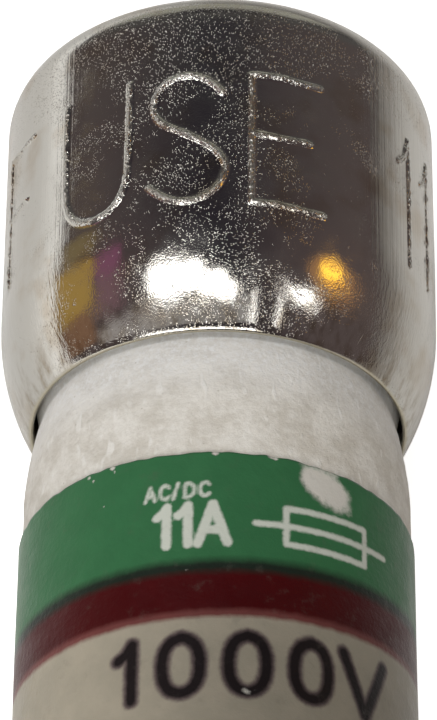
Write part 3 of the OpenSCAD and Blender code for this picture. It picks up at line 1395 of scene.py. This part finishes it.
@dataclass(frozen=True)
class InnerPieces:
    """The pieces inside the tube keep their CAD shapes and get their finishes here."""

    washers: tuple[str, ...] = ("upper_washer", "lower_washer")
    plugs: tuple[str, ...] = ("upper_arc_plug", "lower_arc_plug")
    solder: tuple[str, ...] = ("upper_solder", "lower_solder")
    elements: tuple[str, ...] = ("left_element", "right_element")
    beads: tuple[str, ...] = ("left_tin_bead", "right_tin_bead")
    filler: tuple[str, ...] = ("sand_filler",)

    def finishes(self) -> list[tuple[tuple[str, ...], bpy.types.Material]]:
        """The groups of nodes, each with its material."""
        fibre = MottledFinish("vulcanised_fibre", (0.20, 0.050, 0.034), (0.30, 0.095, 0.060), (0.6, 0.8), 0.0,
                              1.5, 14.0, 0.02, (1.0, 5.0, 1.0))
        silicone = MottledFinish("silicone", (0.30, 0.30, 0.29), (0.40, 0.40, 0.385), (0.5, 0.7), 0.0,
                                 0.8, 9.0, 0.01)
        solder = MottledFinish("solder", (0.52, 0.53, 0.54), (0.66, 0.66, 0.65), (0.25, 0.5), 1.0,
                               1.2, 10.0, 0.02)
        copper = MottledFinish("silvered_copper", (0.83, 0.80, 0.74), (0.80, 0.58, 0.42), (0.18, 0.35), 1.0,
                               0.6, 12.0, 0.004, (1.0, 0.25, 1.0))
        tin = MottledFinish("tin", (0.60, 0.61, 0.62), (0.74, 0.74, 0.73), (0.3, 0.55), 1.0, 2.0, 12.0, 0.02)
        return [
            (self.washers, fibre.material()), (self.plugs, silicone.material()),
            (self.solder, solder.material()), (self.elements, copper.material()),
            (self.beads, tin.material()), (self.filler, QuartzSand().material()),
        ]

    def dress(self) -> None:
        """Gives every inner CAD node its material."""
        for nodes, material in self.finishes():
            for name in nodes:
                dress(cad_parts[name], material)


def dress(piece: bpy.types.Object, material: bpy.types.Material) -> None:
    """Makes a material the only one on a piece, and logs the piece."""
    piece.data.materials.clear()
    piece.data.materials.append(material)
    LOG.info("%s: %s, %d faces", piece.name, material.name, len(piece.data.polygons))


# ----------------------------------------------------------------------------------------------------
# Studio
# ----------------------------------------------------------------------------------------------------


@dataclass(frozen=True)
class Panel:
    """A light panel on a dome round the fuse, facing it.

    Attributes:
        name: name of the light.
        turn: angle of its middle round the axis of the fuse, from straight up towards +X, in degrees.
        lean: angle of its middle towards +Y, in degrees.
        spread: how wide it is round the axis, and how wide along it, in degrees as seen from the fuse.
        radiance: brightness of its face.
        colour: its colour.
        shape: shape of its face.
        distance: metres from the fuse.
    """

    name: str
    turn: float
    lean: float
    spread: tuple[float, float]
    radiance: float
    colour: Colour = (1.0, 1.0, 1.0)
    shape: str = "RECTANGLE"
    distance: float = 0.26

    def build(self) -> bpy.types.Object:
        """Adds the panel; a side is 2 d tan(spread / 2) long and its power is radiance * pi * area."""
        light = bpy.data.lights.new(self.name, "AREA")
        light.shape = self.shape
        light.size, light.size_y = (2.0 * self.distance * math.tan(math.radians(angle) / 2.0)
                                    for angle in self.spread)
        area = light.size * light.size_y * (math.pi / 4.0 if self.shape == "ELLIPSE" else 1.0)
        light.energy = self.radiance * math.pi * area
        light.color = self.colour
        turn, lean = math.radians(self.turn), math.radians(self.lean)
        outward = Vector((math.sin(turn) * math.cos(lean), math.sin(lean), math.cos(turn) * math.cos(lean)))
        sideways = Vector((math.cos(turn), 0.0, -math.sin(turn)))
        facing = Matrix((sideways, outward.cross(sideways), outward)).transposed()
        lamp = bpy.data.objects.new(self.name, light)
        lamp.matrix_world = Matrix.Translation(outward * self.distance) @ facing.to_4x4()
        lamp.visible_camera = False
        bpy.context.scene.collection.objects.link(lamp)
        return lamp


@dataclass(frozen=True)
class Studio:
    """Pale floor, soft panels, a dim room for the metal to reflect, and the camera."""

    floor_reach: float = 1.2
    floor_rings: int = 24
    floor_spokes: int = 96
    floor_core: float = 8.0
    floor_colour: Colour = (0.90, 0.895, 0.885)
    floor_shade: Colour = (0.42, 0.41, 0.40)
    table_glow: float = 0.75
    left_glow: float = 0.62
    room_dark: Colour = (0.030, 0.025, 0.034)
    room_brown: Colour = (0.130, 0.100, 0.098)
    room_grey: Colour = (0.115, 0.112, 0.108)
    room_pale: Colour = (0.46, 0.45, 0.39)
    fill_left: Colour = (0.27, 0.27, 0.27)
    fill_right: Colour = (0.11, 0.11, 0.11)
    backdrop: Colour = (1.0, 1.0, 1.0)
    lens: float = 225.0
    camera_place: tuple[float, float, float] = (0.0, -0.047925, 0.08794)
    camera_pitch: float = 0.596
    camera_roll: float = -0.0085
    panels: tuple[Panel, ...] = (
        Panel("overhead_panel", -21.0, 4.8, (25.0, 12.0), 8.0, (1.0, 0.985, 0.96)),
        Panel("overhead_corner", -3.0, 0.5, (12.0, 10.0), 7.0, (1.0, 0.985, 0.96)),
        Panel("overhead_tip", 3.5, -2.5, (11.0, 9.0), 5.0, (1.0, 0.985, 0.96), "ELLIPSE"),
        Panel("soft_front", -12.0, -50.0, (50.0, 20.0), 5.4, (1.0, 0.985, 0.96)),
        Panel("front_card", -26.0, -14.0, (82.0, 16.0), 0.34, (1.0, 0.97, 0.94)),
        Panel("right_panel", 44.0, 1.5, (15.0, 4.0), 5.5, (1.0, 0.98, 0.96), "ELLIPSE"),
        Panel("post_cap", 35.0, 2.2, (7.0, 1.4), 4.5, (1.0, 0.98, 0.96)),
        Panel("left_post", 17.5, -8.5, (1.0, 15.0), 6.5, (1.0, 0.98, 0.96)),
        Panel("right_post", 31.5, -8.5, (0.9, 16.0), 6.5, (1.0, 0.98, 0.96)),
        Panel("amber_card", 57.0, 16.5, (12.0, 9.0), 2.5, (1.0, 0.54, 0.03), "ELLIPSE"),
        Panel("amber_halo", 58.0, 14.5, (27.0, 17.0), 0.34, (1.0, 0.45, 0.08), "ELLIPSE"),
        Panel("yellow_card", -77.0, 16.5, (22.0, 19.0), 0.37, (1.0, 0.60, 0.0)),
        Panel("amber_foot", -78.0, 0.0, (20.0, 14.0), 0.17, (1.0, 0.42, 0.06)),
        Panel("olive_card", -76.0, 32.0, (18.0, 8.0), 0.14, (1.0, 0.75, 0.10)),
        Panel("violet_card", -56.5, 20.5, (14.0, 11.0), 0.16, (1.0, 0.16, 0.60)),
        Panel("violet_foot", -56.5, 7.0, (14.0, 15.0), 0.13, (1.0, 0.40, 0.60)),
    )

    def build_floor(self) -> bpy.types.Object:
        """A round floor under the ferrules, with a glow for the camera and on the left."""
        low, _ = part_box("upper_ferrule")
        rings = np.geomspace(self.floor_core, self.floor_reach / MM, self.floor_rings)
        spokes = np.linspace(0.0, 2.0 * math.pi, self.floor_spokes, endpoint=False)
        turn, radius = np.meshgrid(spokes, rings, indexing="xy")
        level = np.full(turn.shape, low.z / MM)
        points = np.stack([radius * np.sin(turn), radius * np.cos(turn), level], -1).reshape(-1, 3)
        points = np.vstack([points, [[0.0, 0.0, low.z / MM]]])
        faces = [grid_faces(self.floor_rings, self.floor_spokes, True),
                 pole_faces(len(points) - 1, np.arange(self.floor_spokes), True)]
        floor = make_object("floor", points, faces)
        floor.data.flip_normals()
        s = Shader("pale_table", Emission_Color=(1.0, 1.0, 1.0))
        tone = s.ramp(s.noise(s.place(), 0.02, 3.0), 0.3, 0.7)
        colour = s.mix(tone, self.floor_colour, tuple(value * 0.985 for value in self.floor_colour))
        across, ahead = (s.separate(s.place(), axis) for axis in "XY")
        behind = s.calc("MULTIPLY", s.ramp(ahead, 24.0, 60.0, 0.0, 0.75), s.ramp(across, -14.0, -4.0))
        far = s.calc("MAXIMUM", s.ramp(across, 4.0, 50.0), behind)
        colour = s.mix(far, colour, self.floor_shade)
        glow = s.calc("MULTIPLY", s.node("ShaderNodeLightPath").outputs["Is Camera Ray"], self.table_glow)
        glow = s.calc("ADD", glow, s.ramp(across, -70.0, -8.0, self.left_glow, 0.0))
        rough = s.ramp(tone, 0.0, 1.0, 0.55, 0.6)
        dress(floor, s.finish(Base_Color=colour, Roughness=rough, Emission_Strength=glow))
        return floor

    def build_room(self) -> None:
        """World light, by kind of ray.

        Metal sees a dim room: darkest overhead, brown to both sides, pale low down behind the upper cap. Matt
        surfaces get an even soft fill, and the camera sees a white backdrop.
        """
        world = bpy.data.worlds.new("studio_room")
        bpy.context.scene.world = world
        world.use_nodes = True
        world.node_tree.nodes.clear()
        s = NodeWork(world.node_tree)
        path = s.node("ShaderNodeLightPath")
        towards = s.node("ShaderNodeTexCoord").outputs["Generated"]
        across, ahead, up = (s.separate(towards, axis) for axis in "XYZ")
        wander = s.calc("MULTIPLY_ADD", s.noise(towards, 2.2, 3.0), 0.3, -0.15)
        sideways = s.absolute(s.calc("ADD", s.calc("ADD", across, 0.06), wander))
        tones = s.mix(s.ramp(sideways, 0.0, 1.0), self.room_dark, self.room_brown)
        tones = s.mix(s.ramp(ahead, 0.57, 0.72, 0.0, 0.8), tones, self.room_grey)
        tones = s.mix(s.ramp(ahead, 0.76, 0.84, 0.0, 0.8), tones, self.room_dark)
        low = s.calc("MULTIPLY", s.ramp(ahead, 0.80, 0.90), s.ramp(up, 0.34, 0.42, 1.0, 0.0))
        tones = s.mix(low, tones, self.room_pale)
        fill = s.mix(s.ramp(across, -0.8, 0.8), self.fill_left, self.fill_right)
        matt = s.mix(path.outputs["Is Diffuse Ray"], tones, fill)
        seen = s.mix(path.outputs["Is Camera Ray"], matt, self.backdrop)
        background = s.node("ShaderNodeBackground")
        output = s.node("ShaderNodeOutputWorld")
        s.feed(background.inputs["Color"], seen)
        s.feed(output.inputs["Surface"], background.outputs["Background"])

    def build_camera(self) -> bpy.types.Object:
        """The camera: high up beyond the lower end of the fuse, looking along it towards the upper cap."""
        camera = bpy.data.cameras.new("camera")
        camera.lens = self.lens
        camera.sensor_width = 36.0
        camera.clip_start = 0.001
        camera.clip_end = 10.0
        ahead = Vector((0.0, math.sin(self.camera_pitch), -math.cos(self.camera_pitch)))
        up = Vector((0.0, math.cos(self.camera_pitch), math.sin(self.camera_pitch)))
        right = ahead.cross(up)
        roll = Matrix.Rotation(-self.camera_roll, 3, -ahead)
        right, up = roll @ right, roll @ up
        turn = Matrix((right, up, -ahead)).transposed()
        stand = bpy.data.objects.new("camera", camera)
        stand.matrix_world = Matrix.Translation(self.camera_place) @ turn.to_4x4()
        bpy.context.scene.collection.objects.link(stand)
        bpy.context.scene.camera = stand
        return stand

    def build(self) -> None:
        """Builds the floor, the room, the panels and the camera."""
        self.build_floor()
        self.build_room()
        for panel in self.panels:
            panel.build()
        self.build_camera()
        bpy.context.scene.view_settings.view_transform = "Standard"


# ----------------------------------------------------------------------------------------------------
# The fuse
# ----------------------------------------------------------------------------------------------------


def stamped(outer: float, text: str, turns: Sequence[float], widen: tuple[float, ...]) -> tuple[Word, ...]:
    """A plain word or rating stamped round a cap.

    Args:
        outer: the cap's outer radius, in millimetres.
        text: the characters.
        turns: turn of each character's left edge, in degrees.
        widen: factor on the width of each character.

    Returns:
        The words.
    """
    lefts = tuple(math.radians(turn) * outer for turn in turns)
    return (Word(text, lefts, STAMP_FOOT, STAMP_HEIGHT, widen),)


def build_label() -> Label:
    """The label with its generic print: a rating, a fuse symbol, a current and a kind of supply."""
    rating = Word("1000V", (-2.20, -1.19, 0.26, 1.72, 2.98), 0.09, 1.40, (0.98, 1.05, 1.05, 1.05, 1.5))
    supply = Word("AC/DC", (-2.1, -1.15, -0.25, 0.25, 1.15), -2.3, 1.0, (1.0, 1.0, 1.0, 1.0, 1.0))
    current = Word("11A", (-2.1, -1.3, -0.55), -4.4, 1.0, (1.0, 1.0, 1.0))
    mark = Word("11A", (-1.34, -0.86, -0.42), 3.84, 1.0, (0.9, 0.9, 1.05))
    small = Word("AC/DC", (-1.62, -1.28, -0.98, -0.72, -0.38), 5.06, 0.36, (1.0, 1.0, 0.8, 1.0, 1.0))
    return Label(
        figures=((rating, 0.145), (supply, 0.085), (current, 0.085)),
        marks=((mark, 0.11), (small, 0.04)),
        symbol=(0.85, 4.35, 4.36, 0.46),
    )


def main() -> None:
    """Builds the fuse, piece by piece, and then the studio."""
    logging.basicConfig(level=logging.INFO, format="%(name)s %(message)s")
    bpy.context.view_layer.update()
    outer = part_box("upper_ferrule")[1].x / MM
    nickel = NickelPlate().material()
    stamps = {
        End.UPPER: stamped(outer, "FUSE11", (-73.0, -44.0, -18.5, 8.0, 54.5, 66.5),
                           (0.72, 0.84, 0.88, 0.92, 0.5, 0.5)),
        End.LOWER: stamped(outer, "1000V", (-58.0, -42.0, -15.0, 12.0, 40.0), (0.7, 0.84, 0.84, 0.84, 0.9)),
    }
    for end, words in stamps.items():
        dress(Ferrule(end, words).build(), nickel)
    dress(Tube(inner_place=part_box("upper_ferrule")[0].y / MM).build(), GlassMelamine().material())
    dress(build_label().build(), PrintedSheet().material())
    InnerPieces().dress()
    Studio().build()


if __name__ == "__main__":
    main()
